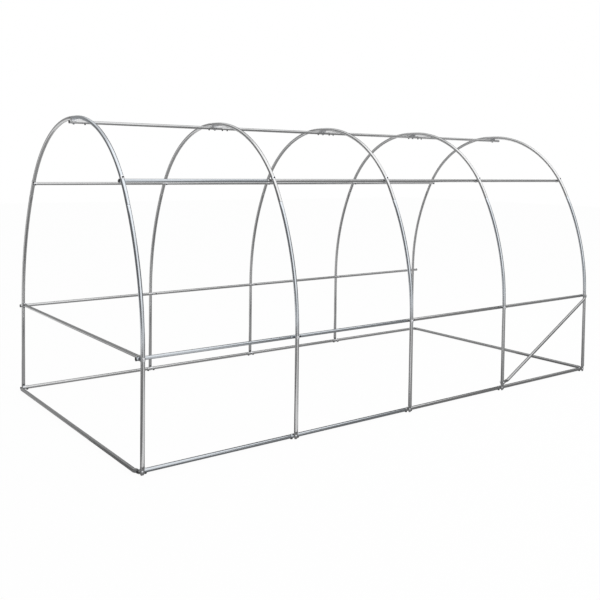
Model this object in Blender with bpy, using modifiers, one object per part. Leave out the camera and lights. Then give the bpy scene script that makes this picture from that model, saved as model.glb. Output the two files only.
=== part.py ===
"""Bare frame of a walk-in tunnel greenhouse.

Five round-topped hoops of steel tube stand in a row along X. A ridge tube, two
purlins, two mid rails and two base rails tie them together, a cross tube closes
each end at the ground, a crossbar stiffens the closed end and one diagonal brace
stiffens the last bay. The ground is z = 0, and the doorway faces +X.
"""

import math

import bmesh
import bpy
from mathutils import Matrix, Vector

# Overall sizes, in metres. A rise is counted from the base rails.
LENGTH = 4.000
SPAN = 2.020
BASE_Z = 0.020
APEX_RISE = 1.950
MID_RISE = 0.614
STRAIGHT_RISE = 0.634
END_BAY_EXTRA = 0.056
BAYS = 4

# Tube stock
HOOP_R = 0.0125
RAIL_R = 0.0110
WALL = 0.0012
SIDES = 10
TURNED_SIDES = 8

# Clearance between neighbours, welding distance and shading
GAP = 0.0003
WELD = 0.00005
SHARP = math.radians(40.0)

# Splices in the hoops
SPLICE_ANGLE = math.radians(27.0)
SPLICE = 0.060
SPIGOT_SHY = 0.006
SHOULDER = 0.005
LOWER_ARC_STEPS = 4
ROOF_ARC_STEPS = 6

# Way up the roof tube from the end of its splice to the purlin, which sits higher on the near side
NEAR_PURLIN_PAST_SPLICE = 0.1135
FAR_PURLIN_PAST_SPLICE = 0.0520

# Splices and ends of the long tubes
OVERLAP = 0.080
RIDGE_SPLICE_AFTER = 0.090
OVERHANG = 0.028
RIDGE_DOOR_OVERHANG = 0.085
PURLIN_OVERHANG = 0.007
BASE_OVERHANG = 0.013

# Ends that are pressed flat, until the two walls almost meet
SEAM_HALF = 0.0001
TAB_WIDE = 0.0130
TIP_WIDE = 0.0055
TIP_STEPS = 2
TAB_BACK = 0.0150
TAB_NECK = 0.0240
FOOT_TOP = 0.0340
FOOT_NECK = 0.0180
BRACE_LOW_RISE = 0.042

# Bolt holes, saddles and end caps
BOLT_HOLE_R = 0.0033
HOLE_SIDES = 8
SADDLE_WEB = 0.0020
SADDLE_HALF = 0.0160
SADDLE_LIP = 0.0075
CAP_FLANGE = 0.0030
CAP_CHAMFER = 0.0014
CAP_PLUG = 0.0140
CAP_LIP = 0.0004

# Values that follow from the sizes above
HALF_SPAN = SPAN / 2
INNER_BAY = (LENGTH - END_BAY_EXTRA * 2) / BAYS
APEX_Z = BASE_Z + APEX_RISE
MID_Z = BASE_Z + MID_RISE
STRAIGHT_Z = BASE_Z + STRAIGHT_RISE
TAB_HALF = WALL + SEAM_HALF
FLAT = math.cos(math.pi / SIDES)
BASE_Y = HALF_SPAN - TAB_HALF - GAP - HOOP_R
RAIL_OFFSET = HOOP_R + GAP + RAIL_R
MID_Y = HALF_SPAN - RAIL_OFFSET
RIDGE_Z = APEX_Z - RAIL_OFFSET - SADDLE_WEB - GAP
HOOP_SPIGOT_R = HOOP_R - WALL - GAP

HOOP_LOOK = ((0.58, 0.60, 0.63, 1.0), 0.34, 0.90)
RAIL_LOOK = ((0.62, 0.64, 0.67, 1.0), 0.36, 0.90)
BASE_LOOK = ((0.55, 0.57, 0.59, 1.0), 0.40, 0.90)
SADDLE_LOOK = ((0.66, 0.67, 0.69, 1.0), 0.42, 0.85)
CAP_LOOK = ((0.020, 0.020, 0.022, 1.0), 0.45, 0.0)


def clear_scene():
    for obj in list(bpy.data.objects):
        bpy.data.objects.remove(obj, do_unlink=True)


def new_collection(name, hidden=False):
    group = bpy.data.collections.new(name)
    bpy.context.scene.collection.children.link(group)
    group.hide_render = hidden
    return group


def finish(name, colour, roughness, metallic):
    material = bpy.data.materials.new(name + "_finish")
    material.use_nodes = True
    shader = material.node_tree.nodes["Principled BSDF"]
    shader.inputs["Base Color"].default_value = colour
    shader.inputs["Roughness"].default_value = roughness
    shader.inputs["Metallic"].default_value = metallic
    material.diffuse_color = colour
    return material


def add_object(group, name, data, look):
    obj = bpy.data.objects.new(name, data)
    data.materials.append(finish(name, *look))
    group.objects.link(obj)
    return obj


def mesh_of(name, shape):
    """Mesh from a bmesh, with its faces turned outwards and shaded smooth between sharp edges."""
    bmesh.ops.recalc_face_normals(shape, faces=shape.faces)
    mesh = bpy.data.meshes.new(name)
    shape.to_mesh(mesh)
    shape.free()
    mesh.shade_smooth()
    mesh.set_sharp_from_angle(angle=SHARP)
    return mesh


def hoop_stations():
    """Hoop positions along X. The two end bays are a little longer than the others."""
    half = LENGTH / 2
    inner = [-half + END_BAY_EXTRA + INNER_BAY * (k + 1) for k in range(BAYS - 1)]
    return [-half] + inner + [half]


def arc_radii():
    """Radii of the lower and roof arcs, so that half a hoop runs smoothly from leg to apex."""
    s = math.sin(SPLICE_ANGLE)
    c = math.cos(SPLICE_ANGLE)
    across = HALF_SPAN - SPLICE * s - SPLICE / 2
    up = APEX_Z - STRAIGHT_Z - SPLICE * c
    share = (1 - c) * (1 - s) - c * s
    lower = (across * (1 - s) - c * up) / share
    roof = ((1 - c) * up - s * across) / share
    return lower, roof


def lower_arc_point(tilt, side):
    """Point of the lower arc, where the tube leans inwards by tilt."""
    lower, _ = arc_radii()
    y = HALF_SPAN - lower * (1 - math.cos(tilt))
    return Vector((0.0, side * y, STRAIGHT_Z + lower * math.sin(tilt)))


def roof_arc_point(tilt, side, inwards=0.0):
    """Point of the roof arc, or of a line a little inside it."""
    _, roof = arc_radii()
    reach = roof - inwards
    y = SPLICE / 2 + reach * math.cos(tilt)
    return Vector((0.0, side * y, APEX_Z - roof + reach * math.sin(tilt)))


def purlin_tilt(side):
    """Lean of the hoop where it carries the purlin, a set distance up the roof tube's arc."""
    _, roof = arc_radii()
    past_splice = NEAR_PURLIN_PAST_SPLICE if side < 0 else FAR_PURLIN_PAST_SPLICE
    return SPLICE_ANGLE + past_splice / roof


def outward(tilt, side):
    return Vector((0.0, side * math.cos(tilt), math.sin(tilt)))


def up_the_hoop(tilt, side):
    return Vector((0.0, -side * math.sin(tilt), math.cos(tilt)))


def ring(centre, thin, across, half_thin, half_wide, flat):
    """Section of a tube. flat blends it from round to a slab with blunt edges."""
    points = []
    for k in range(SIDES):
        angle = 2 * math.pi * k / SIDES
        c = math.cos(angle)
        s = math.sin(angle)
        slab_thin = 0.0 if abs(c) < 1e-6 else math.copysign(1.0, c)
        slab_wide = math.copysign(min(abs(s) / FLAT, 1.0), s)
        a = (1 - flat) * c + flat * slab_thin
        b = (1 - flat) * s + flat * slab_wide
        points.append(centre + thin * (half_thin * a) + across * (half_wide * b))
    return points


def lofted_tube(group, name, sections, across, look):
    """Open-ended tube through (centre, thin direction, half thickness, half width, flat) sections."""
    outer = [ring(c, t, across, a, b, f) for c, t, a, b, f in sections]
    inner = [ring(c, t, across, a - WALL, b - WALL, f) for c, t, a, b, f in sections]
    rings = outer + inner[::-1]
    shape = bmesh.new()
    loops = [[shape.verts.new(p) for p in points] for points in rings]
    for r, loop in enumerate(loops):
        following = loops[(r + 1) % len(loops)]
        for k in range(SIDES):
            n = (k + 1) % SIDES
            shape.faces.new((loop[k], loop[n], following[n], following[k]))
    return add_object(group, name, mesh_of(name, shape), look)


def bent_tube(group, name, path, look):
    """Open-ended tube along (point, radius) pairs, with its wall inside the curve's surface."""
    curve = bpy.data.curves.new(name, "CURVE")
    curve.dimensions = "3D"
    curve.bevel_depth = HOOP_R
    curve.bevel_resolution = (SIDES - 4) // 2
    spline = curve.splines.new("POLY")
    spline.points.add(len(path) - 1)
    spline.use_smooth = True
    for spot, (place, radius) in zip(spline.points, path):
        spot.co = (*place, 1.0)
        spot.radius = radius / HOOP_R
        spot.tilt = math.pi / SIDES
    obj = add_object(group, name, curve, look)
    wall = obj.modifiers.new("wall", "SOLIDIFY")
    wall.thickness = WALL
    wall.offset = -1
    wall.use_even_offset = True
    return obj


def turned(group, name, profile, look, hollow):
    """Solid of revolution about its own Z from (radius, height) points, down the outer side first."""
    count = len(profile)
    edges = [(k, k + 1) for k in range(count - 1)]
    if hollow:
        edges.append((count - 1, 0))
    mesh = bpy.data.meshes.new(name)
    mesh.from_pydata([(r, 0.0, h) for r, h in profile], edges, [])
    obj = add_object(group, name, mesh, look)
    turn = obj.modifiers.new("turn", "SCREW")
    turn.axis = "Z"
    turn.steps = TURNED_SIDES
    turn.render_steps = TURNED_SIDES
    turn.use_merge_vertices = not hollow
    turn.merge_threshold = WELD
    return obj


def lie_along_x(obj, place, roll=0.0, way=1):
    """Turns an upright piece to point along +X or -X. roll turns it about its own axis."""
    turn = Matrix.Rotation(roll, 4, "X") @ Matrix.Rotation(way * math.pi / 2, 4, "Y")
    obj.matrix_world = Matrix.Translation(place) @ turn


def add_cutter(group, name, middle, along, radius, depth, sides=HOLE_SIDES):
    """Round cutter centred on middle, with its axis along the given direction."""
    shape = bmesh.new()
    bmesh.ops.create_cone(
        shape, cap_ends=True, segments=sides, radius1=radius, radius2=radius, depth=depth,
    )
    obj = bpy.data.objects.new(name, mesh_of(name, shape))
    turn = Vector(along).to_track_quat("Z", "Y").to_matrix().to_4x4()
    obj.matrix_world = Matrix.Translation(middle) @ turn
    obj.hide_render = True
    obj.display_type = "WIRE"
    group.objects.link(obj)
    return obj


def cut(obj, cutter):
    step = obj.modifiers.new("cut_" + cutter.name, "BOOLEAN")
    step.operation = "DIFFERENCE"
    step.solver = "EXACT"
    step.object = cutter


def tip_outline():
    """(distance from the tip, half width) of a rounded tab, from its blunt tip inwards."""
    first = math.asin(TIP_WIDE / TAB_WIDE)
    angles = [first + (math.pi / 2 - first) * k / TIP_STEPS for k in range(TIP_STEPS + 1)]
    return [(TAB_WIDE * (math.cos(first) - math.cos(a)), TAB_WIDE * math.sin(a)) for a in angles]


def add_leg(group, cutters, name, x, side):
    """Side tube of a hoop: pressed foot, straight leg, gentle arc and reduced top end."""
    stand = Vector((x, 0.0, 0.0))
    foot = Vector((x, side * HALF_SPAN, 0.0))
    up = Vector((0.0, 0.0, 1.0))
    out = outward(0.0, side)
    sections = [(foot + up * z, out, TAB_HALF, wide, 1.0) for z, wide in tip_outline()]
    sections.append((foot + up * FOOT_TOP, out, TAB_HALF, TAB_WIDE, 1.0))
    sections.append((foot + up * (FOOT_TOP + FOOT_NECK), out, HOOP_R, HOOP_R, 0.0))
    for k in range(LOWER_ARC_STEPS + 1):
        tilt = SPLICE_ANGLE * k / LOWER_ARC_STEPS
        place = stand + lower_arc_point(tilt, side)
        sections.append((place, outward(tilt, side), HOOP_R, HOOP_R, 0.0))
    for distance in (SHOULDER, SPLICE - SPIGOT_SHY):
        place = stand + lower_arc_point(tilt, side) + up_the_hoop(tilt, side) * distance
        sections.append((place, outward(tilt, side), HOOP_SPIGOT_R, HOOP_SPIGOT_R, 0.0))
    leg = lofted_tube(group, name, sections, Vector((1.0, 0.0, 0.0)), HOOP_LOOK)
    hole = add_cutter(cutters, name + "_hole", foot + up * BASE_Z, out, BOLT_HOLE_R, HOOP_R)
    cut(leg, hole)
    return leg


def add_roof(group, name, x, side):
    """Roof tube of a hoop. The near one is open at the apex, and the far one plugs into it."""
    stand = Vector((x, 0.0, 0.0))
    seat = stand + lower_arc_point(SPLICE_ANGLE, side)
    climb = up_the_hoop(SPLICE_ANGLE, side)
    path = [(seat + climb * (SHOULDER + GAP), HOOP_R), (seat + climb * SPLICE, HOOP_R)]
    lift = purlin_tilt(side)
    for k in range(ROOF_ARC_STEPS + 1):
        tilt = lift + (math.pi / 2 - lift) * k / ROOF_ARC_STEPS
        path.append((stand + roof_arc_point(tilt, side), HOOP_R))
    level = Vector((0.0, -side, 0.0))
    apex = path[-1][0]
    if side < 0:
        path.append((apex + level * (SPLICE - SHOULDER - GAP), HOOP_R))
    else:
        path.append((apex + level * SHOULDER, HOOP_SPIGOT_R))
        path.append((apex + level * (SPLICE - SPIGOT_SHY), HOOP_SPIGOT_R))
    return bent_tube(group, name, path, HOOP_LOOK)


def long_tube(group, name, length, radius, socket, spigot, look):
    """Straight tube. spigot adds a reduced end that plugs into the next tube's socket."""
    bore = radius - WALL
    small = bore - GAP
    low = SHOULDER + GAP if socket else 0.0
    outer = [(radius, length), (radius, low)]
    inner = [(bore, low), (bore, length)]
    if spigot:
        outer = [(small, length + OVERLAP), (small, length + SHOULDER)] + outer
        inner += [(small - WALL, length + SHOULDER), (small - WALL, length + OVERLAP)]
    return turned(group, name, outer + inner, look, hollow=True)


def add_line(group, name, place, radius, roll, overhangs, splice_after, look):
    """One line of long tubes, a tube to each bay, each plugged into the next.

    overhangs say how far it reaches past the first hoop and the last."""
    hoops = hoop_stations()
    joints = [x + splice_after - OVERLAP / 2 for x in hoops[1:-1]]
    ends = [hoops[0] - overhangs[0]] + joints + [hoops[-1] + overhangs[1]]
    for k in range(BAYS):
        tube = long_tube(
            group, f"{name}_{k + 1}", ends[k + 1] - ends[k], radius, k > 0, k < BAYS - 1, look,
        )
        lie_along_x(tube, place + Vector((ends[k], 0.0, 0.0)), roll)


def pressed_tube(group, cutters, name, first, last, thin, radius, look):
    """Tube with both ends pressed flush with its thin side and drilled at first and last."""
    first = Vector(first)
    last = Vector(last)
    thin = Vector(thin)
    size = (last - first).length
    along = (last - first).normalized()
    drop = thin * (TAB_HALF - radius)
    end = [(d - RAIL_R, TAB_HALF, wide, 1.0) for d, wide in tip_outline()]
    end.append((TAB_BACK, TAB_HALF, TAB_WIDE, 1.0))
    end.append((TAB_BACK + TAB_NECK, radius, radius, 0.0))
    sections = []
    for distance, a, b, flat in end:
        sections.append((first + along * distance + drop * (1 - flat), thin, a, b, flat))
    for distance, a, b, flat in reversed(end):
        sections.append((last - along * distance + drop * (1 - flat), thin, a, b, flat))
    tube = lofted_tube(group, name, sections, along.cross(thin), look)
    for tag, point in (("first", first), ("last", last)):
        cut(tube, add_cutter(cutters, f"{name}_{tag}_hole", point, thin, BOLT_HOLE_R, radius))
    return tube


def add_saddle(group, cutters, name, x):
    """Spacer under a hoop's apex, with a groove for the hoop above and for the ridge below."""
    low = RIDGE_Z + RAIL_R - SADDLE_LIP
    high = APEX_Z - HOOP_R + SADDLE_LIP
    wide = SADDLE_HALF * 2
    shape = bmesh.new()
    bmesh.ops.create_cube(shape, size=1.0, matrix=Matrix.Diagonal((wide, wide, high - low, 1.0)))
    saddle = add_object(group, name, mesh_of(name, shape), SADDLE_LOOK)
    saddle.location = (x, 0.0, (low + high) / 2)
    cuts = (
        ("hoop", (x, 0.0, APEX_Z), (0, 1, 0), HOOP_R + GAP, SIDES * 2),
        ("ridge", (x, 0.0, RIDGE_Z), (1, 0, 0), RAIL_R + GAP, SIDES * 2),
        ("bolt", (x, 0.0, APEX_Z - HOOP_R), (0, 0, 1), BOLT_HOLE_R, HOLE_SIDES),
    )
    for tag, middle, along, radius, sides in cuts:
        cut(saddle, add_cutter(cutters, f"{name}_{tag}", middle, along, radius, wide * 2, sides))
    return saddle


def add_cap(group, name, way, overhang):
    """Push-in cap for an open end of the ridge: a plug with a slightly wider flange."""
    flange = RAIL_R + CAP_LIP
    plug = RAIL_R - WALL - GAP
    profile = [
        (0.0, CAP_FLANGE),
        (flange - CAP_CHAMFER, CAP_FLANGE),
        (flange, CAP_FLANGE - CAP_CHAMFER),
        (flange, 0.0),
        (plug, 0.0),
        (plug, -CAP_PLUG),
        (0.0, -CAP_PLUG),
    ]
    cap = turned(group, name, profile, CAP_LOOK, hollow=False)
    lie_along_x(cap, (way * (LENGTH / 2 + overhang + GAP), 0.0, RIDGE_Z), way=way)
    return cap


def add_hoops(group, cutters):
    for k, x in enumerate(hoop_stations()):
        for word, side in (("near", -1), ("far", 1)):
            add_leg(group, cutters, f"hoop_{k + 1}_{word}_leg", x, side)
            add_roof(group, f"hoop_{k + 1}_{word}_roof", x, side)


def add_long_lines(group):
    """Rails and purlins on both sides, and the ridge. A roll aims a corner at the hoop."""
    for word, side in (("near", -1), ("far", 1)):
        lift = purlin_tilt(side)
        base = Vector((0.0, side * BASE_Y, BASE_Z))
        mid = Vector((0.0, side * MID_Y, MID_Z))
        purlin = roof_arc_point(lift, side, RAIL_OFFSET)
        sideways = -side * math.pi / 2
        slanted = -side * (math.pi / 2 - lift)
        even = (OVERHANG, OVERHANG)
        short = (BASE_OVERHANG, BASE_OVERHANG)
        flush = (PURLIN_OVERHANG, PURLIN_OVERHANG)
        add_line(group, f"base_rail_{word}", base, HOOP_R, sideways, short, 0.0, BASE_LOOK)
        add_line(group, f"mid_rail_{word}", mid, RAIL_R, sideways, even, 0.0, RAIL_LOOK)
        add_line(group, f"purlin_{word}", purlin, RAIL_R, slanted, flush, 0.0, RAIL_LOOK)
    ridge = Vector((0.0, 0.0, RIDGE_Z))
    reach = (OVERHANG, RIDGE_DOOR_OVERHANG)
    add_line(group, "ridge", ridge, RAIL_R, 0.0, reach, RIDGE_SPLICE_AFTER, RAIL_LOOK)


def add_cross_tubes(group, cutters):
    """Cross tubes at the ground, the crossbar of the closed end and the brace of the last bay."""
    hoops = hoop_stations()
    for word, way in (("closed", -1), ("door", 1)):
        tab_x = way * (LENGTH / 2 + BASE_OVERHANG + GAP + TAB_HALF)
        pressed_tube(
            group, cutters, f"end_base_{word}", (tab_x, -BASE_Y, BASE_Z), (tab_x, BASE_Y, BASE_Z),
            (-way, 0, 0), HOOP_R, BASE_LOOK,
        )
    bar_z = MID_Z + RAIL_R + GAP + TAB_HALF
    pressed_tube(
        group, cutters, "crossbar", (hoops[0], -MID_Y, bar_z), (hoops[0], MID_Y, bar_z),
        (0, 0, 1), RAIL_R, RAIL_LOOK,
    )
    brace_y = -(HALF_SPAN + HOOP_R + GAP + TAB_HALF)
    pressed_tube(
        group, cutters, "brace", (hoops[-2], brace_y, BASE_Z + BRACE_LOW_RISE), (hoops[-1], brace_y, MID_Z),
        (0, 1, 0), RAIL_R, RAIL_LOOK,
    )


def add_ridge_fittings(group, cutters):
    for k, x in enumerate(hoop_stations()):
        add_saddle(group, cutters, f"ridge_saddle_{k + 1}", x)
    add_cap(group, "ridge_cap_closed", -1, OVERHANG)
    add_cap(group, "ridge_cap_door", 1, RIDGE_DOOR_OVERHANG)


def build():
    clear_scene()
    group = new_collection("tunnel_greenhouse")
    cutters = new_collection("cutters", hidden=True)
    add_hoops(group, cutters)
    add_long_lines(group)
    add_cross_tubes(group, cutters)
    add_ridge_fittings(group, cutters)


build()
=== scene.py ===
"""Looks of the tunnel greenhouse frame: fine galvanised tubes, bolts, curved washers and end plugs.

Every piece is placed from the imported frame. Hoops stand in planes of constant X, the
ground is z = 0, and the closed end, at -X, is the one nearest to the camera.
"""

import math

import bmesh
import bpy
from mathutils import Matrix, Vector


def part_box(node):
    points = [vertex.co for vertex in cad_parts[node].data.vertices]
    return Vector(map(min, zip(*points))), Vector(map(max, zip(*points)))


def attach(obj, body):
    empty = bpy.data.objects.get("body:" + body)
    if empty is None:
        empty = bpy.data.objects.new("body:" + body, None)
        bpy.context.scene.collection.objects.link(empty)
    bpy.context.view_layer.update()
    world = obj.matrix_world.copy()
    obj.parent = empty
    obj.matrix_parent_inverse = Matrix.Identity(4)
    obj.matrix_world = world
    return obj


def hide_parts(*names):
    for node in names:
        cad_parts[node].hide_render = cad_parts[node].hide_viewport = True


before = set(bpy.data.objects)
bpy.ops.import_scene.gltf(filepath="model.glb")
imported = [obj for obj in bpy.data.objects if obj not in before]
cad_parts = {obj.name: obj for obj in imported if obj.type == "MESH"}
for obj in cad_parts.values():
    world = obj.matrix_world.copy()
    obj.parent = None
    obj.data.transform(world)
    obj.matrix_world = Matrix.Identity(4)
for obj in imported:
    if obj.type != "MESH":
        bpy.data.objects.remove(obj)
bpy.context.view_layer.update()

# Camera: place in metres, angles in degrees, focal length and row of the axis in frame pixels
FRAME_PIXELS = 600
SENSOR_MM = 36.0
CAMERA_PLACE = Vector((-3.8665, -4.9275, 1.6711))
CAMERA_YAW = 53.455
CAMERA_PITCH = -2.407
CAMERA_ROLL = 0.704
FOCAL_PIXELS = 800.97
CENTRE_ROW = 201.57

# Counts of hoops, bays and points round a tube or bolt, and the least angle of a sharp edge
HOOP_COUNT = 5
BAY_COUNT = HOOP_COUNT - 1
SIDES = 36
ROUND_SAMPLES = 24
SHARP_ANGLE = math.radians(35.0)

# Tube stock, and the play between parts, in metres
HOOP_R = 0.0125
RAIL_R = 0.0110
WALL = 0.0012
GAP = 0.0003

# Hoop line
SPLICE_ANGLE = math.radians(27.0)
SPLICE = 0.060
STRAIGHT_Z = 0.654
LOWER_ARC_STEPS = 14
ROOF_ARC_STEPS = 26

# Splices: overlap of the long tubes, shoulder, shortfall of a hoop's spigot, and tapered tip
OVERLAP = 0.080
SHOULDER = 0.005
SPIGOT_SHY = 0.006
SPIGOT_LEAD = 0.0012
SPIGOT_TAPER = 0.0004

# Pressed ends: slab, tip past the bolt, neck up to the round tube, squareness and inner slit
TAB_HALF = 0.0013
TAB_WIDE = 0.0130
TAB_PAST = 0.0110
TIP_WIDE = 0.0055
TIP_STEPS = 5
TAB_BACK = 0.0150
TAB_NECK = 0.0240
FOOT_TOP = 0.0340
FOOT_NECK = 0.0180
NECK_STEPS = 8
NECK_FADE = 1.5
SLAB_POWER = 5.0
PRESSED_BORE = 0.0001

# M6 bolts and nuts
HEX_FLATS = 0.0100
HEX_WORN_R = 0.00475
HEAD_HIGH = 0.0042
NUT_HIGH = 0.0050
HEX_BEVEL = 0.0006
SHANK_R = 0.0030
SHANK_OUT = 0.0030
THREAD_PITCH = 0.0010
THREAD_DEEP = 0.0004
DOME_R = 0.0068
DOME_HIGH = 0.0030
DOME_STEPS = 4
CROWN = math.radians(78.0)
DIMPLE = 0.0005

# Cap over a nut, as (share of its height, share of its radius)
COVER_R = 0.0085
COVER_HIGH = 0.0064
COVER_PROFILE = ((0.0, 1.0), (0.55, 0.97), (0.85, 0.82), (1.0, 0.50))

# Hand knob: radii as shares of its own, and the heights of its neck, rim and top
KNOB_R = 0.0085
KNOB_LONG = 0.0100
KNOB_NECK = 0.62
KNOB_TOP = 0.78
KNOB_HEIGHTS = (0.0, 0.25, 0.32, 0.88, 1.0)
KNOB_GRIPS = 8
GRIP_DEEP = 0.06

# Washers
WASHER_R = 0.0080
WASHER_THICK = 0.0010
WASHER_BORE = 0.0032
WASHER_BEVEL = 0.0002
SADDLE_LONG = 0.0220
SADDLE_ANGLE = math.radians(58.0)
SADDLE_THICK = 0.0018
SADDLE_FLAT = 0.0010
SADDLE_STEPS = 20
SADDLE_NARROWING = 0.92
SADDLE_POWER = 6

# Bolt places beside the hoops, along the rails, and the height of the brace's lower bolt
BASE_BOLT_STEP = 0.024
MID_BOLT_STEP = 0.034
RIDGE_END_STEPS = (0.075,)
RIDGE_BOLT_STEPS = (-0.046, 0.062, 0.102)
BRACE_LOW_Z = 0.062

# End plugs: the bevel is turned in two steps, and the flat face is a share of the flange
PLUG_LIP = 0.0006
PLUG_FLANGE = 0.0030
PLUG_BEVEL = 0.0012
PLUG_STEP = 0.3
PLUG_FACE = 0.45
PLUG_DEEP = 0.0140

# Grey tones of the galvanised tubes, dark and light, and their roughness, low and high
HOOP_TONES = (0.540, 0.590)
LONG_TONES = (0.468, 0.514)
BRACE_TONES = (0.340, 0.380)
HOOP_ROUGH = (0.12, 0.20)
RAIL_ROUGH = (0.13, 0.22)
BASE_ROUGH = (0.14, 0.24)

# Tints of the zinc: plain, and cold as a painted cool reflection of the sky; heights between which the near
# legs turn cold, and counts of cold near tubes
PLAIN_TINT = (0.996, 1.0, 1.006)
PAINTED_SKY_TINT = (0.948, 1.0, 1.056)
COLD_HEIGHTS = (0.56, 0.78)
COLD_ROOFS = 1
COLD_RAIL_BAYS = 2
COLD_PURLIN_BAYS = 1

# Surface of the zinc: streaks beside the mottling, weld line, and relief as strength and depth
STREAK_SCALE = (9.0, 9.0, 2.5)
STREAK_SHARE = 0.45
MOTTLE_SPAN = (0.36, 0.64)
WELD_SPAN = (0.990, 0.998)
WELD_SHARE = 0.6
WELD_RAISE = 0.7
ZINC_RELIEF = (0.025, 0.0004)

# Hardware: dark and light colours, roughness, and the part of the noise between the colours
BRIGHT_TONES = ((0.62, 0.63, 0.65), (0.80, 0.81, 0.83))
BRIGHT_ROUGH = (0.26, 0.42)
STEEL_TONES = ((0.022, 0.022, 0.024), (0.060, 0.060, 0.064))
STEEL_ROUGH = (0.30, 0.50)
PLASTIC_TONES = ((0.012, 0.012, 0.013), (0.024, 0.024, 0.026))
PLASTIC_ROUGH = (0.42, 0.60)
GRAIN_SPAN = (0.3, 0.7)
GRAIN_DEEP = 0.0001

# Studio: light of the white world and the floor, and the one lamp
WORLD_LIGHT = 0.75
FLOOR_SIZE = 60.0
FLOOR_TONE = 0.90
FLOOR_ROUGH = 0.9
FLOOR_GLOW = 0.96
LAMP_PLACE = Vector((3.0, -6.0, 7.0))
LAMP_TARGET = Vector((0.0, 0.0, 0.9))
LAMP_SIDE = 5.0
LAMP_WATTS = 250.0

# Curved cards: lowest and highest point in metres, first and last azimuth in degrees, brightness
COVE_RADIUS = 9.0
COVE_STEPS = 24
COVES = {
    "dark_side": (0.0, 8.0, 128.0, 228.0, 0.20),
    "grey_side": (0.0, 8.0, 70.0, 128.0, 0.42),
    "far_side": (0.0, 13.0, 5.0, 70.0, 0.12),
    "dim_side": (0.0, 5.1, -60.0, 15.0, 0.26),
    "bright_side": (1.8, 8.8, 229.0, 298.0, 1.4),
}

# Level cards: middle and size along X and Y in metres, brightness
CARD_Z = 0.002
SKY_Z = 6.0
CARDS = {
    "dark_strip": ((-1.1, -1.0, CARD_Z), 7.8, 0.2, 0.26),
    "inner_ground": ((-1.1, 0.8, CARD_Z), 7.8, 2.2, 0.42),
    "far_ground": ((3.5, 5.2, CARD_Z), 9.0, 5.0, 0.36),
    "near_ground": ((-1.1, -0.6, CARD_Z), 7.8, 0.6, 0.22),
    "dark_corner": ((-3.625, -2.8, CARD_Z), 2.75, 3.4, 0.26),
    "dim_ground": ((3.2, -3.6, CARD_Z), 7.6, 5.0, 0.40),
    "bright_sky": ((1.0, -3.0, SKY_Z), 12.0, 7.0, 1.6),
}

WORLD_UP = Vector((0.0, 0.0, 1.0))
ALONG_X = Vector((1.0, 0.0, 0.0))
SIDE_OF = {"near": -1, "far": 1}
WAY_OF = {"closed": -1, "door": 1}


# Places read from the frame


def box_centre(node):
    low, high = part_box(node)
    return (low + high) / 2


HOOPS = [box_centre(f"hoop_{k}_near_leg").x for k in range(1, HOOP_COUNT + 1)]
LEG_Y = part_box("hoop_1_far_leg")[1].y - HOOP_R
APEX_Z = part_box("hoop_1_far_roof")[1].z - HOOP_R
BASE_Y = box_centre("base_rail_far_1").y
BASE_Z = box_centre("base_rail_far_1").z
MID_Y = box_centre("mid_rail_far_1").y
MID_Z = box_centre("mid_rail_far_1").z
RIDGE_Z = box_centre("ridge_1").z
TAB_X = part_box(f"base_rail_far_{BAY_COUNT}")[1].x + GAP + TAB_HALF
CROSSBAR_TAB_Z = MID_Z + RAIL_R + GAP + TAB_HALF
BRACE_TAB_Y = -(LEG_Y + HOOP_R + GAP + TAB_HALF)


# Materials


def new_material(name):
    """Node material, with its nodes, links and main shader."""
    material = bpy.data.materials.new(name)
    material.use_nodes = True
    nodes = material.node_tree.nodes
    return material, nodes, material.node_tree.links, nodes["Principled BSDF"]


def add_node(nodes, kind, **settings):
    """Shader node whose inputs and options are set by name."""
    node = nodes.new("ShaderNode" + kind)
    for key, value in settings.items():
        if key in node.inputs:
            node.inputs[key].default_value = value
        else:
            setattr(node, key, value)
    return node


def two_tone(nodes, links, factor, tones, span):
    """Colour between a dark and a light tone, over a span of the factor."""
    ramp = nodes.new("ShaderNodeValToRGB")
    for element, position, tone in zip(ramp.color_ramp.elements, span, tones):
        element.position = position
        element.color = (*tone, 1.0)
    links.new(factor, ramp.inputs["Fac"])
    return ramp.outputs["Color"]


def ranged(nodes, links, factor, low, high):
    """Value from low to high as the factor goes from 0 to 1."""
    spread = nodes.new("ShaderNodeMapRange")
    spread.inputs["To Min"].default_value = low
    spread.inputs["To Max"].default_value = high
    links.new(factor, spread.inputs["Value"])
    return spread.outputs["Result"]


def eased(nodes, links, vector, axis, low, high):
    """Smooth climb from 0 to 1 as one coordinate of a vector goes from low to high."""
    split = add_node(nodes, "SeparateXYZ")
    links.new(vector, split.inputs["Vector"])
    climb = add_node(nodes, "MapRange", interpolation_type="SMOOTHSTEP")
    climb.inputs["From Min"].default_value = low
    climb.inputs["From Max"].default_value = high
    links.new(split.outputs[axis], climb.inputs["Value"])
    return climb.outputs["Result"]


def relief(nodes, links, height, strength, depth):
    """Normal of a surface with a height on it."""
    bump = add_node(nodes, "Bump", Strength=strength, Distance=depth)
    links.new(height, bump.inputs["Height"])
    return bump.outputs["Normal"]


def drawn_streaks(nodes, links, around):
    """Noise that is drawn out along the tube."""
    stretch = add_node(nodes, "Mapping", Scale=STREAK_SCALE)
    links.new(around, stretch.inputs["Vector"])
    streaks = add_node(nodes, "TexNoise", Scale=1.0, Detail=4.0, Roughness=0.55)
    links.new(stretch.outputs["Vector"], streaks.inputs["Vector"])
    return streaks.outputs["Fac"]


def mottled(nodes, links, place, streaks):
    """Soft mottling with a share of the streaks in it."""
    mottle = add_node(nodes, "TexNoise", Scale=38.0, Detail=5.0, Roughness=0.62)
    links.new(place, mottle.inputs["Vector"])
    blend = add_node(nodes, "Mix", data_type="FLOAT")
    blend.inputs["Factor"].default_value = STREAK_SHARE
    links.new(mottle.outputs["Fac"], blend.inputs["A"])
    links.new(streaks, blend.inputs["B"])
    return blend.outputs["Result"]


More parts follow.
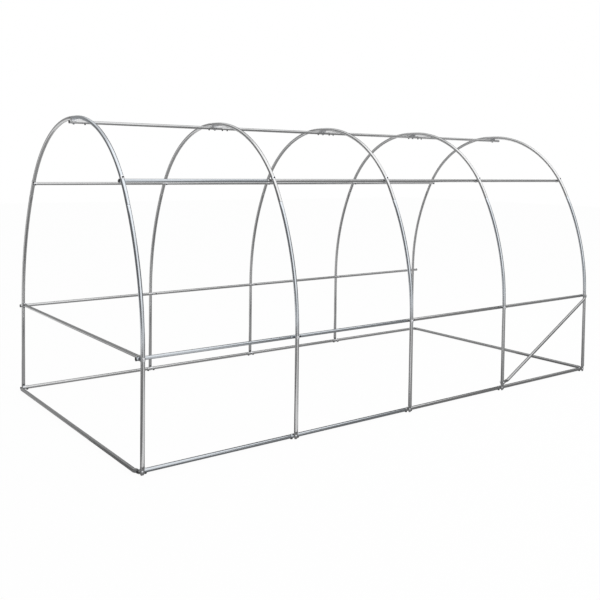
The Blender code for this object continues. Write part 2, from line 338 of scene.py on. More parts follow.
def even_on_weld(nodes, links, weld, colour, tones):
    """The mottling fades on the weld line, towards the middle of the two tones."""
    even = add_node(nodes, "Mix", data_type="RGBA")
    even.inputs["B"].default_value = (*[sum(pair) / 2 for pair in zip(*tones)], 1.0)
    links.new(colour, even.inputs["A"])
    links.new(ranged(nodes, links, weld, 0.0, WELD_SHARE), even.inputs["Factor"])
    return even.outputs["Result"]


def colder_above(nodes, links, place, colour):
    """Painted sky reflection: the zinc turns from plain to cold around the height of the mid rail."""
    colder = add_node(nodes, "Mix", data_type="RGBA", blend_type="MULTIPLY")
    colder.inputs["B"].default_value = (*[cold / plain for cold, plain in zip(PAINTED_SKY_TINT, PLAIN_TINT)], 1.0)
    links.new(eased(nodes, links, place, "Z", *COLD_HEIGHTS), colder.inputs["Factor"])
    links.new(colour, colder.inputs["A"])
    return colder.outputs["Result"]


def raised_weld(nodes, links, weld, mottle):
    """Height of the mottling with the weld line on top."""
    height = add_node(nodes, "Math", operation="MULTIPLY_ADD")
    links.new(weld, height.inputs[0])
    height.inputs[1].default_value = WELD_RAISE
    links.new(mottle, height.inputs[2])
    return height.outputs["Value"]


def galvanised(name, tones, roughness, rising=False):
    """Zinc-coated tube: soft mottling, drawn streaks along the tube and a fine weld line."""
    material, nodes, links, shader = new_material(name)
    place = add_node(nodes, "TexCoord").outputs["Object"]
    around = add_node(nodes, "Attribute", attribute_name="tube_at").outputs["Vector"]
    streaks = drawn_streaks(nodes, links, around)
    mottle = mottled(nodes, links, place, streaks)
    weld = eased(nodes, links, around, "X", *WELD_SPAN)
    colour = two_tone(nodes, links, mottle, tones, MOTTLE_SPAN)
    colour = even_on_weld(nodes, links, weld, colour, tones)
    # The near legs get a painted cool sky reflection above the mid rail.
    if rising:
        colour = colder_above(nodes, links, place, colour)
    links.new(colour, shader.inputs["Base Color"])
    links.new(ranged(nodes, links, streaks, *roughness), shader.inputs["Roughness"])
    shader.inputs["Metallic"].default_value = 1.0
    height = raised_weld(nodes, links, weld, mottle)
    links.new(relief(nodes, links, height, *ZINC_RELIEF), shader.inputs["Normal"])
    return material


def tinted(tint, tones):
    """Dark and light colours of a coat from its grey tones."""
    return [tuple(tone * share for share in tint) for tone in tones]


def tube_zinc(kind, tones, roughness):
    """Plain galvanised steel for one kind of tube, and a copy with a cold tint painted on as sky reflection.
    """
    return {
        tint_kind: galvanised(f"{kind}_zinc_{tint_kind}", tinted(tint, tones), roughness)
        for tint_kind, tint in (("plain", PLAIN_TINT), ("cold", PAINTED_SKY_TINT))
    }


def plain_or_sky_tinted(zinc, word, number, last_cold):
    """The first near tubes, counted from the closed end, get the cold tint that is painted sky reflection.
    """
    return zinc["cold" if word == "near" and number <= last_cold else "plain"]


def grained(name, tones, roughness, noise, metallic=0.0, bump=0.0):
    """Material whose colour, roughness and relief follow one fine noise."""
    material, nodes, links, shader = new_material(name)
    place = add_node(nodes, "TexCoord")
    texture = add_node(nodes, "TexNoise", **noise)
    links.new(place.outputs["Object"], texture.inputs["Vector"])
    grain = texture.outputs["Fac"]
    links.new(two_tone(nodes, links, grain, tones, GRAIN_SPAN), shader.inputs["Base Color"])
    links.new(ranged(nodes, links, grain, *roughness), shader.inputs["Roughness"])
    shader.inputs["Metallic"].default_value = metallic
    if bump:
        links.new(relief(nodes, links, grain, bump, GRAIN_DEEP), shader.inputs["Normal"])
    return material


def bright_zinc():
    """Bright zinc of washers, domed bolts and ridge saddles, lightly brushed."""
    noise = {"Scale": 420.0, "Detail": 4.0, "Roughness": 0.6}
    return grained("bright_zinc", BRIGHT_TONES, BRIGHT_ROUGH, noise, metallic=1.0, bump=0.2)


def blackened_steel():
    """Dark oiled finish of the hex bolts and nuts, with a little wear."""
    noise = {"Scale": 350.0, "Detail": 5.0, "Roughness": 0.65}
    return grained("blackened_steel", STEEL_TONES, STEEL_ROUGH, noise, metallic=0.6)


def black_plastic():
    """Moulded plugs, caps and knobs with a fine matt grain."""
    noise = {"Scale": 900.0, "Detail": 3.0, "Roughness": 0.5}
    return grained("black_plastic", PLASTIC_TONES, PLASTIC_ROUGH, noise, bump=0.3)


# Cold copies carry a painted cool reflection of the sky; the far tubes stay plain.
HOOP_ZINC = tube_zinc("hoop", HOOP_TONES, HOOP_ROUGH)
RISING_ZINC = galvanised("rising_zinc", tinted(PLAIN_TINT, HOOP_TONES), HOOP_ROUGH, rising=True)
LEG_ZINC = {"near": RISING_ZINC, "far": HOOP_ZINC["plain"]}
RAIL_ZINC = tube_zinc("rail", LONG_TONES, RAIL_ROUGH)
BASE_ZINC = tube_zinc("base", LONG_TONES, BASE_ROUGH)
BRACE_ZINC = galvanised("brace_zinc", tinted(PLAIN_TINT, BRACE_TONES), RAIL_ROUGH)
BRIGHT_ZINC = bright_zinc()
BLACK_STEEL = blackened_steel()
BLACK_PLASTIC = black_plastic()


# Mesh helpers


def place_piece(name, mesh, material, replaced=()):
    """Finishes a piece: smooth shading, material, body and the node that it stands for."""
    mesh.shade_smooth()
    mesh.set_sharp_from_angle(angle=SHARP_ANGLE)
    mesh.materials.append(material)
    piece = bpy.data.objects.new(name, mesh)
    bpy.context.scene.collection.objects.link(piece)
    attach(piece, "root")
    if replaced:
        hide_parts(*replaced)


def finished_mesh(name, shape):
    """Mesh of a bmesh, with its faces turned outwards."""
    bmesh.ops.recalc_face_normals(shape, faces=shape.faces)
    mesh = bpy.data.meshes.new(name)
    shape.to_mesh(mesh)
    shape.free()
    return mesh


def section_ring(section, across):
    """Points of one section, with the cosine and sine of each. flat turns its circle into a slab."""
    centre, thin, half_thin, half_wide, flat = section
    power = 2.0 / (2.0 + SLAB_POWER * flat)
    spots = []
    for k in range(SIDES):
        angle = 2 * math.pi * k / SIDES
        c = math.cos(angle)
        s = math.sin(angle)
        a = math.copysign(abs(c) ** power, c)
        b = math.copysign(abs(s) ** power, s)
        spots.append((centre + thin * (half_thin * a) + across * (half_wide * b), (c, s)))
    return spots


def tube_mesh(name, sections, across):
    """Open-ended tube through (centre, thin direction, half thickness, half width, flat) sections.

    tube_at tells the zinc where each point is round the tube and how far along it."""
    shape = bmesh.new()
    layer = shape.verts.layers.float_vector.new("tube_at")
    inner = []
    for centre, thin, half_thin, half_wide, flat in sections:
        inner.append((centre, thin, max(half_thin - WALL, PRESSED_BORE), half_wide - WALL, flat))
    travel = [0.0]
    for before, after in zip(sections, sections[1:]):
        travel.append(travel[-1] + (after[0] - before[0]).length)
    loops = []
    for section, distance in list(zip(sections, travel)) + list(zip(inner, travel))[::-1]:
        loop = []
        for point, (c, s) in section_ring(section, across):
            vert = shape.verts.new(point)
            vert[layer] = (c, s, distance)
            loop.append(vert)
        loops.append(loop)
    for r, loop in enumerate(loops):
        following = loops[(r + 1) % len(loops)]
        for k in range(SIDES):
            n = (k + 1) % SIDES
            shape.faces.new((loop[k], loop[n], following[n], following[k]))
    return finished_mesh(name, shape)


def tip_outline():
    """(distance from the tip, half width) of a rounded tab, from its blunt tip inwards."""
    first = math.asin(TIP_WIDE / TAB_WIDE)
    angles = [first + (math.pi / 2 - first) * k / TIP_STEPS for k in range(TIP_STEPS + 1)]
    return [(TAB_WIDE * (math.cos(first) - math.cos(a)), TAB_WIDE * math.sin(a)) for a in angles]


def neck(start, length, radius):
    """(distance, half thickness, half width, flat) steps from a pressed tab to the round tube."""
    steps = []
    for k in range(1, NECK_STEPS + 1):
        share = k / NECK_STEPS
        ease = share * share * (3 - 2 * share)
        half_thin = TAB_HALF + (radius - TAB_HALF) * ease
        half_wide = TAB_WIDE + (radius - TAB_WIDE) * ease
        steps.append((start + length * share, half_thin, half_wide, (1 - share) ** NECK_FADE))
    return steps


# Hoop line


def arc_radii():
    """Radii of the lower and roof arcs, so that half a hoop runs smoothly from leg to apex."""
    s = math.sin(SPLICE_ANGLE)
    c = math.cos(SPLICE_ANGLE)
    across = LEG_Y - SPLICE * s - SPLICE / 2
    up = APEX_Z - STRAIGHT_Z - SPLICE * c
    scale = (1 - c) * (1 - s) - c * s
    return (across * (1 - s) - c * up) / scale, ((1 - c) * up - s * across) / scale


LOWER_ARC_R, ROOF_ARC_R = arc_radii()


def lower_arc_point(tilt, side):
    y = LEG_Y - LOWER_ARC_R * (1 - math.cos(tilt))
    return Vector((0.0, side * y, STRAIGHT_Z + LOWER_ARC_R * math.sin(tilt)))


def roof_arc_point(tilt, side):
    y = SPLICE / 2 + ROOF_ARC_R * math.cos(tilt)
    return Vector((0.0, side * y, APEX_Z - ROOF_ARC_R + ROOF_ARC_R * math.sin(tilt)))


def outward(tilt, side):
    return Vector((0.0, side * math.cos(tilt), math.sin(tilt)))


def up_the_hoop(tilt, side):
    return Vector((0.0, -side * math.sin(tilt), math.cos(tilt)))


def spigot_sections(seat, climb, thin, radius, length):
    """Shouldered end that plugs into the next tube, from where the full size stops."""
    small = radius - WALL - GAP
    middle = (radius + small) / 2
    tip = small - SPIGOT_TAPER
    return [
        (seat, thin, radius, radius, 0.0),
        (seat + climb * SHOULDER / 2, thin, middle, middle, 0.0),
        (seat + climb * SHOULDER, thin, small, small, 0.0),
        (seat + climb * (length - SPIGOT_LEAD), thin, small, small, 0.0),
        (seat + climb * length, thin, tip, tip, 0.0),
    ]


def add_leg(hoop, word):
    """Side tube: pressed foot, straight leg, gentle arc and reduced top end."""
    side = SIDE_OF[word]
    stand = Vector((HOOPS[hoop - 1], 0.0, 0.0))
    foot = stand + Vector((0.0, side * LEG_Y, 0.0))
    out = outward(0.0, side)
    sections = [(foot + WORLD_UP * z, out, TAB_HALF, wide, 1.0) for z, wide in tip_outline()]
    sections.append((foot + WORLD_UP * FOOT_TOP, out, TAB_HALF, TAB_WIDE, 1.0))
    for z, thin, wide, flat in neck(FOOT_TOP, FOOT_NECK, HOOP_R):
        sections.append((foot + WORLD_UP * z, out, thin, wide, flat))
    for k in range(LOWER_ARC_STEPS):
        tilt = SPLICE_ANGLE * k / LOWER_ARC_STEPS
        sections.append((stand + lower_arc_point(tilt, side), outward(tilt, side), HOOP_R, HOOP_R, 0.0))
    seat = stand + lower_arc_point(SPLICE_ANGLE, side)
    sections += spigot_sections(
        seat, up_the_hoop(SPLICE_ANGLE, side), outward(SPLICE_ANGLE, side), HOOP_R, SPLICE - SPIGOT_SHY
    )
    name = f"hoop_{hoop}_{word}_leg"
    mesh = tube_mesh(name + "_tube", sections, ALONG_X)
    place_piece(name + "_tube", mesh, LEG_ZINC[word], [name])


def add_roof(hoop, word):
    """Roof tube. The near one is open at the apex, and the far one plugs into it."""
    side = SIDE_OF[word]
    stand = Vector((HOOPS[hoop - 1], 0.0, 0.0))
    seat = stand + lower_arc_point(SPLICE_ANGLE, side)
    climb = up_the_hoop(SPLICE_ANGLE, side)
    first = outward(SPLICE_ANGLE, side)
    sections = [(seat + climb * (SHOULDER + GAP), first, HOOP_R, HOOP_R, 0.0)]
    for k in range(ROOF_ARC_STEPS):
        tilt = SPLICE_ANGLE + (math.pi / 2 - SPLICE_ANGLE) * k / ROOF_ARC_STEPS
        sections.append((stand + roof_arc_point(tilt, side), outward(tilt, side), HOOP_R, HOOP_R, 0.0))
    apex = stand + roof_arc_point(math.pi / 2, side)
    level = Vector((0.0, -side, 0.0))
    if word == "near":
        sections.append((apex, WORLD_UP, HOOP_R, HOOP_R, 0.0))
        sections.append((apex + level * (SPLICE - SHOULDER - GAP), WORLD_UP, HOOP_R, HOOP_R, 0.0))
    else:
        sections += spigot_sections(apex, level, WORLD_UP, HOOP_R, SPLICE - SPIGOT_SHY)
    name = f"hoop_{hoop}_{word}_roof"
    mesh = tube_mesh(name + "_tube", sections, ALONG_X)
    place_piece(name + "_tube", mesh, plain_or_sky_tinted(HOOP_ZINC, word, hoop, COLD_ROOFS), [name])


# Long tubes


def add_long_tube(node, radius, thin, material, last):
    """Straight tube along X in place of its node, with a shouldered spigot unless it is the last."""
    low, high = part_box(node)
    middle = (low + high) / 2
    end = high.x if last else high.x - OVERLAP
    axis = Vector((0.0, middle.y, middle.z))
    sections = [(axis + ALONG_X * low.x, thin, radius, radius, 0.0)]
    if last:
        sections.append((axis + ALONG_X * end, thin, radius, radius, 0.0))
    else:
        sections += spigot_sections(axis + ALONG_X * end, ALONG_X, thin, radius, OVERLAP)
    across = thin.cross(ALONG_X)
    place_piece(node + "_tube", tube_mesh(node + "_tube", sections, across), material, [node])


def add_long_tubes():
    for bay in range(1, BAY_COUNT + 1):
        last = bay == BAY_COUNT
        for word, side in SIDE_OF.items():
            inwards = Vector((0.0, -side, 0.0))
            base = plain_or_sky_tinted(BASE_ZINC, word, bay, COLD_RAIL_BAYS)
            rail = plain_or_sky_tinted(RAIL_ZINC, word, bay, COLD_RAIL_BAYS)
            purlin = plain_or_sky_tinted(RAIL_ZINC, word, bay, COLD_PURLIN_BAYS)
            add_long_tube(f"base_rail_{word}_{bay}", HOOP_R, inwards, base, last)
            add_long_tube(f"mid_rail_{word}_{bay}", RAIL_R, inwards, rail, last)
            add_long_tube(f"purlin_{word}_{bay}", RAIL_R, inwards, purlin, last)
        add_long_tube(f"ridge_{bay}", RAIL_R, -WORLD_UP, RAIL_ZINC["plain"], last)


def add_pressed_tube(node, first, last, thin, radius, material):
    """Tube with both ends pressed flat on its thin side, from bolt to bolt."""
    along = (last - first).normalized()
    drop = thin * (TAB_HALF - radius)
    end = [(d - TAB_PAST, TAB_HALF, wide, 1.0) for d, wide in tip_outline()]
    end.append((TAB_BACK, TAB_HALF, TAB_WIDE, 1.0))
    end += neck(TAB_BACK, TAB_NECK, radius)
    sections = []
    for bolt, inwards, steps in ((first, along, end), (last, -along, end[::-1])):
        for distance, half_thin, wide, flat in steps:
            sink = (half_thin - TAB_HALF) / (radius - TAB_HALF)
            sections.append((bolt + inwards * distance + drop * sink, thin, half_thin, wide, flat))
    mesh = tube_mesh(node + "_tube", sections, along.cross(thin))
    place_piece(node + "_tube", mesh, material, [node])


def add_cross_tubes():
    """End base tubes, the crossbar in the first hoop's plane and the brace of the last bay."""
    for word, way in WAY_OF.items():
        first = Vector((way * TAB_X, -BASE_Y, BASE_Z))
        last = Vector((way * TAB_X, BASE_Y, BASE_Z))
        add_pressed_tube(
            f"end_base_{word}", first, last, Vector((-way, 0, 0)), HOOP_R, BASE_ZINC["plain"]
        )
    first = Vector((HOOPS[0], -MID_Y, CROSSBAR_TAB_Z))
    last = Vector((HOOPS[0], MID_Y, CROSSBAR_TAB_Z))
    add_pressed_tube("crossbar", first, last, WORLD_UP, RAIL_R, RAIL_ZINC["plain"])
    first = Vector((HOOPS[3], BRACE_TAB_Y, BRACE_LOW_Z))
    last = Vector((HOOPS[4], BRACE_TAB_Y, MID_Z))
    add_pressed_tube("brace", first, last, Vector((0, 1, 0)), RAIL_R, BRACE_ZINC)


# Bolts, washers and plugs


def layered_mesh(name, layers, hollow=False):
    """Piece from (height, radii) layers round Z. A hollow one closes its last layer on its first."""
    shape = bmesh.new()
    loops = []
    for height, radii in layers:
        loop = []
        for k, radius in enumerate(radii):
            angle = 2 * math.pi * k / ROUND_SAMPLES
            loop.append(shape.verts.new((radius * math.cos(angle), radius * math.sin(angle), height)))
        loops.append(loop)
    pairs = list(zip(loops, loops[1:]))
    if hollow:
        pairs.append((loops[-1], loops[0]))
    else:
        shape.faces.new(loops[0])
        shape.faces.new(loops[-1])
    for before, after in pairs:
        for k in range(ROUND_SAMPLES):
            n = (k + 1) % ROUND_SAMPLES
            shape.faces.new((before[k], before[n], after[n], after[k]))
    return finished_mesh(name, shape)


def circle(radius):
    return [radius] * ROUND_SAMPLES


def hexagon():
    radii = []
    for k in range(ROUND_SAMPLES):
        turn = (2 * math.pi * k / ROUND_SAMPLES) % (math.pi / 3) - math.pi / 6
        radii.append(HEX_FLATS / 2 / math.cos(turn))
    return radii


def hex_layers(low, high, both):
    """Hexagon prism whose corners are turned off at its top, or at both ends."""
    bottom = [(low, circle(HEX_WORN_R)), (low + HEX_BEVEL, hexagon())] if both else [(low, hexagon())]
    return bottom + [(high - HEX_BEVEL, hexagon()), (high, circle(HEX_WORN_R))]


def dome_layers():
    """Low mushroom head that stands on z = 0, from its crown down."""
    angles = [CROWN * (1 - k / DOME_STEPS) for k in range(DOME_STEPS + 1)]
    return [(DOME_HIGH * math.sin(a) / math.sin(CROWN), circle(DOME_R * math.cos(a))) for a in angles]


def bolt_mesh(name, grip, tail, domed):
    """Bolt whose head stands on z = 0 and whose thread starts grip below and ends at tail."""
    layers = dome_layers() if domed else hex_layers(0.0, HEAD_HIGH, False)[::-1]
    layers.append((0.0, circle(SHANK_R)))
    height = -grip
    while height > THREAD_PITCH - tail:
        layers.append((height, circle(SHANK_R)))
        layers.append((height - THREAD_PITCH / 2, circle(SHANK_R - THREAD_DEEP)))
        height -= THREAD_PITCH
    layers.append((height, circle(SHANK_R)))
    layers.append((-tail, circle(SHANK_R - THREAD_DEEP * 2)))
    return layered_mesh(name, layers)


def nut_mesh(name):
    """Hex nut that hangs down from z = 0."""
    layers = hex_layers(-NUT_HIGH, 0.0, True)
    layers += [(0.0, circle(SHANK_R)), (-NUT_HIGH, circle(SHANK_R))]
    return layered_mesh(name, layers, hollow=True)


def cover_mesh(name):
    """Closed cap over a nut that hangs down from z = 0."""
    return layered_mesh(name, [(-COVER_HIGH * down, circle(COVER_R * out)) for down, out in COVER_PROFILE])


def knob_mesh(name):
    """Hand knob that stands on z = 0: a neck, a rim with shallow grips and a narrower top."""
    stem = circle(KNOB_R * KNOB_NECK)
    rim = []
    for k in range(ROUND_SAMPLES):
        turn = 2 * math.pi * KNOB_GRIPS * k / ROUND_SAMPLES
        rim.append(KNOB_R * (1 - GRIP_DEEP + GRIP_DEEP * math.cos(turn)))
    rings = (stem, stem, rim, rim, circle(KNOB_R * KNOB_TOP))
    return layered_mesh(name, [(KNOB_LONG * share, ring) for share, ring in zip(KNOB_HEIGHTS, rings)])


def washer_mesh(name):
    """Flat washer that lies on z = 0, bevelled on top."""
    layers = [
        (0.0, circle(WASHER_R)),
        (WASHER_THICK - WASHER_BEVEL, circle(WASHER_R)),
        (WASHER_THICK, circle(WASHER_R - WASHER_BEVEL)),
        (WASHER_THICK, circle(WASHER_BORE)),
        (0.0, circle(WASHER_BORE)),
    ]
    return layered_mesh(name, layers, hollow=True)


def saddle_mesh(name, radius):
    """Curved washer that hugs a tube lying along X and offers a flat seat on its crest."""
    inner = radius + GAP / 2
    shape = bmesh.new()
    rows = []
    for k in range(SADDLE_STEPS + 1):
        turn = 2 * k / SADDLE_STEPS - 1
        angle = turn * SADDLE_ANGLE
        outer = min(inner + SADDLE_THICK, (inner + SADDLE_FLAT) / math.cos(angle))
        half = SADDLE_LONG / 2 * (1 - SADDLE_NARROWING * turn ** SADDLE_POWER) ** 0.5
        row = []
        for spot in (inner, outer):
            for x in (-half, half):
                row.append(shape.verts.new((x, spot * math.sin(angle), spot * math.cos(angle))))
        rows.append(row)
    for before, after in zip(rows, rows[1:]):
        for a, b in ((0, 1), (1, 3), (3, 2), (2, 0)):
            shape.faces.new((before[a], before[b], after[b], after[a]))
    for row in (rows[0], rows[-1]):
        shape.faces.new((row[0], row[1], row[3], row[2]))
    return finished_mesh(name, shape)


def plug_mesh(name, radius):
    """Push-in plug: a bevelled flange outside the tube's end at z = 0 and a stem inside its bore."""
    flange = radius + PLUG_LIP
    stem = radius - WALL - GAP
    step = PLUG_BEVEL * PLUG_STEP
    layers = [
        (PLUG_FLANGE, circle(flange * PLUG_FACE)),
        (PLUG_FLANGE, circle(flange - PLUG_BEVEL)),
        (PLUG_FLANGE - step, circle(flange - step)),
        (PLUG_FLANGE - PLUG_BEVEL, circle(flange)),
        (GAP, circle(flange)),
        (GAP, circle(stem)),
        (-PLUG_DEEP, circle(stem)),
    ]
    return layered_mesh(name, layers)


def fastener(name, mesh, place, axis, along, material):
    """Puts a piece at a place, with its Z along axis and its X near along."""
    up = axis.normalized()
    across = up.cross(along).normalized()
    turn = Matrix((across.cross(up), across, up)).transposed().to_4x4()
    own = mesh.copy()
    own.transform(Matrix.Translation(place) @ turn)
    place_piece(name, own, material)


def add_bolt(name, place, axis, grip, domed=False, covered=False):
    """Bolt with its head seated at place, and its nut, bare or covered, grip below the head."""
    material = BRIGHT_ZINC if domed else BLACK_STEEL
    tail = grip + (COVER_HIGH / 2 if covered else NUT_HIGH + SHANK_OUT)
    fastener(name + "_bolt", bolt_mesh(name, grip, tail, domed), place, axis, ALONG_X, material)
    if covered:
        fastener(name + "_cover", COVER, place - axis * grip, axis, ALONG_X, BLACK_PLASTIC)
    else:
        fastener(name + "_nut", NUT, place - axis * grip, axis, ALONG_X, BLACK_STEEL)


def add_saddle(name, middle, axis, radius, along):
    """Curved washer on the crest of a tube that runs along and is centred on middle.

    Returns how far its seat is from the tube's centre line."""
    fastener(name, SADDLES[radius], middle, axis, along, BRIGHT_ZINC)
    return radius + GAP / 2 + SADDLE_FLAT


NUT = nut_mesh("nut")
COVER = cover_mesh("cover")
KNOB = knob_mesh("knob")
WASHER = washer_mesh("washer")
SADDLES = {radius: saddle_mesh("curved_washer", radius) for radius in (HOOP_R, RAIL_R)}


def add_clamped_joint(name, outer, inner, axis, outer_radius, inner_radius, outer_along, domed, tab=0.0):
    """Bolt through two crossing tubes with centres outer and inner, with a washer at each end.

    A tab on the outer tube takes the place of its curved washer."""
    if tab:
        head = outer_radius + tab
        fastener(name + "_washer", WASHER, outer + axis * head, axis, ALONG_X, BRIGHT_ZINC)
        head += WASHER_THICK
    else:
        head = add_saddle(name + "_outer_washer", outer, axis, outer_radius, outer_along)
    seat = add_saddle(name + "_inner_washer", inner, -axis, inner_radius, ALONG_X)
    grip = head + (outer - inner).length + seat
    add_bolt(name, outer + axis * head, axis, grip, domed)


def add_ridge_joint(name, ridge):
    """Bolt that comes up through the ridge and its saddle and ends inside the hoop."""
    down = -WORLD_UP
    seat = add_saddle(name + "_washer", ridge, down, RAIL_R, ALONG_X)
    grip = seat + APEX_Z - RIDGE_Z - HOOP_R
    mesh = bolt_mesh(name, grip, grip + NUT_HIGH + SHANK_OUT, False)
    fastener(name + "_bolt", mesh, ridge + down * seat, down, ALONG_X, BLACK_STEEL)


def add_hoop_joints():
    """Foot, mid rail, purlin and ridge joints of every hoop."""
    for k, x in enumerate(HOOPS, start=1):
        for word, side in SIDE_OF.items():
            out = outward(0.0, side)
            foot = Vector((x, side * LEG_Y, BASE_Z))
            rail = Vector((x, side * BASE_Y, BASE_Z))
            name = f"hoop_{k}_{word}"
            add_clamped_joint(name + "_foot", foot, rail, out, 0.0, HOOP_R, ALONG_X, True, TAB_HALF)
            leg = Vector((x, side * LEG_Y, MID_Z))
            rail = Vector((x, side * MID_Y, MID_Z))
            braced = k == HOOP_COUNT and word == "near"
            tab = 2 * TAB_HALF + GAP if braced else 0.0
            add_clamped_joint(name + "_mid", leg, rail, out, HOOP_R, RAIL_R, WORLD_UP, True, tab)
            purlin = box_centre(f"purlin_{word}_1")
            pivot = Vector((0.0, side * SPLICE / 2, APEX_Z - ROOF_ARC_R))
            lean = Vector((0.0, purlin.y, purlin.z)) - pivot
            lean.normalize()
            rail = Vector((x, purlin.y, purlin.z))
            roof = Vector((x, pivot.y, pivot.z)) + lean * ROOF_ARC_R
            add_clamped_joint(name + "_purlin", roof, rail, lean, HOOP_R, RAIL_R, ALONG_X.cross(lean), False)
        add_ridge_joint(f"hoop_{k}_ridge", Vector((x, 0.0, RIDGE_Z)))


def add_splice_bolts():
    """Bolts through the splices: upright in the base rails and the ridge, level in the mid rails."""
    for k, x in enumerate(HOOPS, start=1):
        for word, side in SIDE_OF.items():
            for tag, step in (("before", -BASE_BOLT_STEP), ("after", BASE_BOLT_STEP)):
                if (k, tag) in ((1, "before"), (HOOP_COUNT, "after")):
                    continue
                place = Vector((x + step, side * BASE_Y, BASE_Z + HOOP_R - DIMPLE))
                name = f"base_rail_{word}_{tag}_hoop_{k}"
                add_bolt(name, place, WORLD_UP, (HOOP_R - DIMPLE) * 2, domed=True, covered=True)
            if 1 < k < HOOP_COUNT:
                out = outward(0.0, side)
                place = Vector((x + MID_BOLT_STEP, side * MID_Y, MID_Z)) + out * (RAIL_R - DIMPLE)
                add_bolt(f"mid_rail_{word}_splice_{k}", place, out, (RAIL_R - DIMPLE) * 2)
        if k < HOOP_COUNT:
            for number, step in enumerate(RIDGE_BOLT_STEPS if k > 1 else RIDGE_END_STEPS, start=1):
                place = Vector((x + step, 0.0, RIDGE_Z + RAIL_R - DIMPLE))
                add_bolt(f"ridge_splice_{k}_{number}", place, WORLD_UP, (RAIL_R - DIMPLE) * 2, domed=True)


def add_tab_bolts():
    """Bolts through the ends of the crossbar and the brace, and knobs on the end base tubes."""
    for word, side in SIDE_OF.items():
        tab = Vector((HOOPS[0], side * MID_Y, CROSSBAR_TAB_Z))
        rail = Vector((HOOPS[0], side * MID_Y, MID_Z))
        add_clamped_joint(f"crossbar_{word}", tab, rail, WORLD_UP, 0.0, RAIL_R, ALONG_X, True, TAB_HALF)
        for end, way in WAY_OF.items():
            axis = ALONG_X * way
            seat = Vector((way * (TAB_X + TAB_HALF), side * BASE_Y, BASE_Z))
            name = f"end_base_{end}_{word}"
            fastener(name + "_washer", WASHER, seat, axis, WORLD_UP, BRIGHT_ZINC)
            fastener(name + "_knob", KNOB, seat + axis * WASHER_THICK, axis, WORLD_UP, BLACK_PLASTIC)
    tab = Vector((HOOPS[3], BRACE_TAB_Y, BRACE_LOW_Z))
    leg = Vector((HOOPS[3], -LEG_Y, BRACE_LOW_Z))
    out = Vector((0.0, -1.0, 0.0))
    fastener("brace_foot_washer", WASHER, tab + out * TAB_HALF, out, ALONG_X, BRIGHT_ZINC)
    head = tab + out * (TAB_HALF + WASHER_THICK)
    seat = add_saddle("brace_foot_inner_washer", leg, -out, HOOP_R, WORLD_UP)
    add_bolt("brace_foot", head, out, (head - leg).length + seat, domed=True)


def add_plugs():
    """Black plugs in the open ends of the mid rails and purlins."""
    mesh = plug_mesh("end_plug", RAIL_R)
    for word in SIDE_OF:
        for line in ("mid_rail", "purlin"):
            for end, bay in (("closed", 1), ("door", BAY_COUNT)):
                way = WAY_OF[end]
                node = f"{line}_{word}_{bay}"
                tube_end = box_centre(node)
                tube_end.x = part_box(node)[0].x if way < 0 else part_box(node)[1].x
                name = f"{line}_{word}_plug_{end}"
                fastener(name, mesh, tube_end, ALONG_X * way, WORLD_UP, BLACK_PLASTIC)


# Camera, lights and stage


def add_camera():
    yaw = math.radians(CAMERA_YAW)
    pitch = math.radians(CAMERA_PITCH)
    roll = math.radians(CAMERA_ROLL)
    ahead = Vector((math.cos(pitch) * math.cos(yaw), math.cos(pitch) * math.sin(yaw), math.sin(pitch)))
    level = Vector((math.sin(yaw), -math.cos(yaw), 0.0))
    upright = level.cross(ahead)
    right = level * math.cos(roll) + upright * math.sin(roll)
    up = upright * math.cos(roll) - level * math.sin(roll)
    data = bpy.data.cameras.new("camera")
    data.sensor_width = SENSOR_MM
    data.lens = FOCAL_PIXELS / FRAME_PIXELS * SENSOR_MM
    data.shift_y = (CENTRE_ROW - FRAME_PIXELS / 2) / FRAME_PIXELS
    camera = bpy.data.objects.new("camera", data)
    turn = Matrix((right, up, -ahead)).transposed().to_4x4()
    camera.matrix_world = Matrix.Translation(CAMERA_PLACE) @ turn
    bpy.context.scene.collection.objects.link(camera)
    bpy.context.scene.camera = camera


def seen_directly(nodes, links):
    """1 for rays from the camera, off gloss or through glass, and 0 for the light on surfaces."""
    path = nodes.new("ShaderNodeLightPath")
    total = path.outputs["Is Camera Ray"]
    for other in ("Is Glossy Ray", "Is Transmission Ray"):
        step = add_node(nodes, "Math", operation="MAXIMUM")
        links.new(total, step.inputs[0])
        links.new(path.outputs[other], step.inputs[1])
        total = step.outputs["Value"]
    return total


def add_world():
    """White to look at, and dimmer as the light on surfaces."""
    world = bpy.data.worlds.new("studio")
    world.use_nodes = True
    nodes = world.node_tree.nodes
    links = world.node_tree.links
    background = nodes["Background"]
    background.inputs["Color"].default_value = (1.0, 1.0, 1.0, 1.0)
    strength = ranged(nodes, links, seen_directly(nodes, links), WORLD_LIGHT, 1.0)
    links.new(strength, background.inputs["Strength"])
    bpy.context.scene.world = world


def pale_floor():
    """Matt floor that glows nearly white to look at and gives no light of its own."""
    material, nodes, links, shader = new_material("pale_floor")
    shader.inputs["Base Color"].default_value = (FLOOR_TONE, FLOOR_TONE, FLOOR_TONE, 1.0)
    shader.inputs["Roughness"].default_value = FLOOR_ROUGH
    shader.inputs["Specular IOR Level"].default_value = 0.0
    glow = add_node(nodes, "Emission", Strength=1.0)
    mix = nodes.new("ShaderNodeMixShader")
    share = ranged(nodes, links, seen_directly(nodes, links), 0.0, FLOOR_GLOW)
    links.new(share, mix.inputs["Fac"])
    links.new(shader.outputs["BSDF"], mix.inputs[1])
    links.new(glow.outputs["Emission"], mix.inputs[2])
    links.new(mix.outputs["Shader"], nodes["Material Output"].inputs["Surface"])
    return material


def card_material(name, shade):
    material, nodes, links, _ = new_material(name)
    glow = add_node(nodes, "Emission", Strength=shade)
    links.new(glow.outputs["Emission"], nodes["Material Output"].inputs["Surface"])
    return material


def stage_piece(name, shape, material):
    """Object of the studio from a finished bmesh."""
    mesh = bpy.data.meshes.new(name)
    shape.to_mesh(mesh)
    shape.free()
    mesh.materials.append(material)
    piece = bpy.data.objects.new(name, mesh)
    bpy.context.scene.collection.objects.link(piece)
    return piece


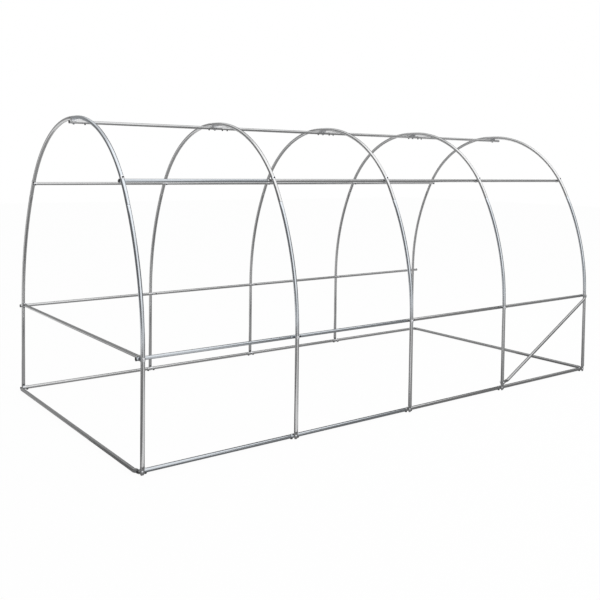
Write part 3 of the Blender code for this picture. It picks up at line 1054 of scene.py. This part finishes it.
def add_sheet(name, middle, along_x, along_y, material):
    """Level rectangle of the studio, centred on middle."""
    shape = bmesh.new()
    bmesh.ops.create_grid(shape, x_segments=1, y_segments=1, size=0.5)
    sheet = stage_piece(name, shape, material)
    sheet.matrix_world = Matrix.Translation(middle) @ Matrix.Diagonal((along_x, along_y, 1.0, 1.0))
    return sheet


def only_in_reflections(card):
    card.visible_camera = False
    card.visible_diffuse = False
    card.visible_shadow = False
    card.visible_transmission = False
    card.visible_volume_scatter = False


def add_cove(name, low, high, first, last, shade):
    """Curved card between two heights and two azimuths, which only reflections see."""
    shape = bmesh.new()
    columns = []
    for k in range(COVE_STEPS + 1):
        angle = math.radians(first + (last - first) * k / COVE_STEPS)
        foot = Vector((math.cos(angle), math.sin(angle), 0.0)) * COVE_RADIUS
        columns.append([shape.verts.new(foot + WORLD_UP * z) for z in (low, high)])
    for before, after in zip(columns, columns[1:]):
        shape.faces.new((before[0], after[0], after[1], before[1]))
    only_in_reflections(stage_piece(name, shape, card_material(name, shade)))


def add_card(name, middle, along_x, along_y, shade):
    """Level card that only reflections see."""
    only_in_reflections(add_sheet(name, Vector(middle), along_x, along_y, card_material(name, shade)))


def add_lamp():
    """Wide soft lamp, aimed at the frame and left out of reflections."""
    data = bpy.data.lights.new("key_lamp", "AREA")
    data.shape = "SQUARE"
    data.size = LAMP_SIDE
    data.energy = LAMP_WATTS
    lamp = bpy.data.objects.new("key_lamp", data)
    turn = (LAMP_PLACE - LAMP_TARGET).to_track_quat("Z", "Y").to_matrix().to_4x4()
    lamp.matrix_world = Matrix.Translation(LAMP_PLACE) @ turn
    lamp.visible_glossy = False
    bpy.context.scene.collection.objects.link(lamp)


def add_studio():
    bpy.context.scene.view_settings.view_transform = "Standard"
    add_world()
    add_sheet("floor", Vector((0.0, 0.0, 0.0)), FLOOR_SIZE, FLOOR_SIZE, pale_floor())
    add_lamp()
    for name, values in COVES.items():
        add_cove(name, *values)
    for name, values in CARDS.items():
        add_card(name, *values)


# The whole scene


def add_tubes():
    for hoop in range(1, HOOP_COUNT + 1):
        for word in SIDE_OF:
            add_leg(hoop, word)
            add_roof(hoop, word)
    add_long_tubes()
    add_cross_tubes()


def coat_kept_nodes():
    """The ridge saddles and ridge caps are shown as the CAD's own solids."""
    coats = {"ridge_saddle": BRIGHT_ZINC, "ridge_cap": BLACK_PLASTIC}
    for name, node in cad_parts.items():
        for start, material in coats.items():
            if name.startswith(start):
                node.data.materials.clear()
                node.data.materials.append(material)


add_camera()
add_studio()
add_tubes()
add_hoop_joints()
add_splice_bolts()
add_tab_bolts()
add_plugs()
coat_kept_nodes()
